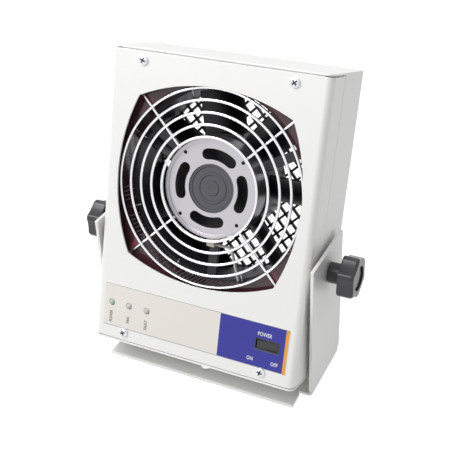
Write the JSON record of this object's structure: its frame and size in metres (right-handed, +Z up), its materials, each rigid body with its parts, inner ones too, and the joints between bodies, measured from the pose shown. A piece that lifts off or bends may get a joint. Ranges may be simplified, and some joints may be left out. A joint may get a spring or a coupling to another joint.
{
  "type": "ionizing blower",
  "caption": "Benchtop ionizing blower: tilting sheet-metal fan head with emitter needles, wire guard and switch, held in a U-shaped stand by clamp knobs.",
  "frame": {"origin": "on the floor under the tilt pivot, midway between the stand's arms", "axes": "+X to the right seen from the front, +Y to the back, +Z up; the air blows towards -Y"},
  "size_m": [0.1788, 0.1096, 0.1943],
  "materials": {
    "white_paint": "semi-gloss powder coat over folded steel sheet",
    "label_film": "satin printed polyester overlay",
    "zinc_steel": "bright zinc-plated fasteners",
    "steel_leads": "tinned leads",
    "led_green": "diffused moulded lens",
    "led_clear": "diffused moulded lens",
    "circuit_board": "solder-masked glass epoxy",
    "brass": "turned brass",
    "capacitor_film": "shrink sleeve",
    "chip_plastic": "moulded epoxy",
    "potting": "potted module case",
    "hv_silicone": "silicone high-voltage lead",
    "ferrite": "coated ferrite",
    "copper_wire": "enamelled copper winding",
    "black_plastic": "moulded, fine texture",
    "gloss_black": "moulded, semi-gloss",
    "green_plastic": "moulded binding post",
    "trimmer_blue": "moulded trimmer case",
    "white_plastic": "moulded",
    "guard_chrome": "bright nickel-chrome plated wire",
    "wine_plastic": "moulded dark wine red, glossy",
    "cast_aluminium": "die-cast, lightly tumbled",
    "frame_metal": "black painted die casting",
    "dark_metal": "dark textured coating",
    "bearing_steel": "ground steel",
    "lamination": "stacked electrical steel",
    "cream_nylon": "moulded nylon",
    "lead_pvc": "PVC insulation",
    "magnet": "bonded ferrite",
    "needle_metal": "polished emitter alloy",
    "washer_rubber": "friction washer"
  },
  "bodies": {
    "stand": {"bracket": "white_paint"},
    "head": {"front_cover": "white_paint", "rear_chassis": "white_paint", "control_label": "label_film", "cover_screws": "zinc_steel", "cover_nuts": "zinc_steel", "power_led": "led_green", "fan_led": "led_clear", "fault_led": "led_clear", "led_leads": "steel_leads", "control_board": "circuit_board", "board_standoffs": "brass", "board_screws": "zinc_steel", "board_capacitors": "capacitor_film", "board_chips": "chip_plastic", "hv_module": "potting", "hv_screws": "zinc_steel", "hv_lead": "hv_silicone", "choke_core": "ferrite", "choke_coil": "copper_wire", "switch_body": "black_plastic", "switch_terminals": "brass", "power_jack": "black_plastic", "jack_pin": "zinc_steel", "jack_nut": "zinc_steel", "ground_socket": "green_plastic", "ground_nut": "brass", "trimmer_body": "trimmer_blue", "fan_guard": "guard_chrome", "guard_bolts": "zinc_steel", "guard_nuts": "zinc_steel", "emitter_frame": "wine_plastic", "needle_sockets": "white_plastic", "emitter_needles": "needle_metal", "needle_ring": "zinc_steel", "fan_frame": "frame_metal", "motor_housing": "cast_aluminium", "bearing_tube": "dark_metal", "front_bearing": "bearing_steel", "rear_bearing": "bearing_steel", "stator_core": "lamination", "stator_coils": "copper_wire", "terminal_block": "cream_nylon", "motor_leads": "lead_pvc", "rear_guard": "black_plastic", "pivot_nuts": "zinc_steel", "pivot_washers": "washer_rubber"},
    "fan": {"impeller": "gloss_black", "magnet_ring": "magnet", "rotor_shaft": "bearing_steel"},
    "rocker": {"switch_rocker": "gloss_black"},
    "dial": {"balance_dial": "white_plastic"},
    "right_clamp": {"right_knob": "black_plastic", "right_stud": "zinc_steel", "right_cap": "gloss_black"},
    "left_clamp": {"left_knob": "black_plastic", "left_stud": "zinc_steel", "left_cap": "gloss_black"}
  },
  "joints": [
    {"name": "head_tilt", "type": "hinge", "parent": "stand", "child": "head", "pos_m": [0, 0, 0.077], "axis": [1, 0, 0], "range_deg": [-71.7, 78.3]},
    {"name": "fan_spin", "type": "hinge", "parent": "head", "child": "fan", "pos_m": [0, 0.02044, 0.11174], "axis": [0, 0.9494, -0.314], "continuous": true},
    {"name": "rocker_tip", "type": "hinge", "parent": "head", "child": "rocker", "pos_m": [0.0487, -0.03769, 0.0436], "axis": [0, 0.314, 0.9494], "range_deg": [-20, 0]},
    {"name": "dial_turn", "type": "hinge", "parent": "head", "child": "dial", "pos_m": [-0.022, 0.01025, 0.02358], "axis": [0, 0.9494, -0.314], "range_deg": [-135, 135]},
    {"name": "right_knob_turn", "type": "hinge", "parent": "head", "child": "right_clamp", "pos_m": [0, 0, 0.077], "axis": [1, 0, 0], "range_deg": [0, 300]},
    {"name": "left_knob_turn", "type": "hinge", "parent": "head", "child": "left_clamp", "pos_m": [0, 0, 0.077], "axis": [-1, 0, 0], "range_deg": [0, 300]}
  ]
}
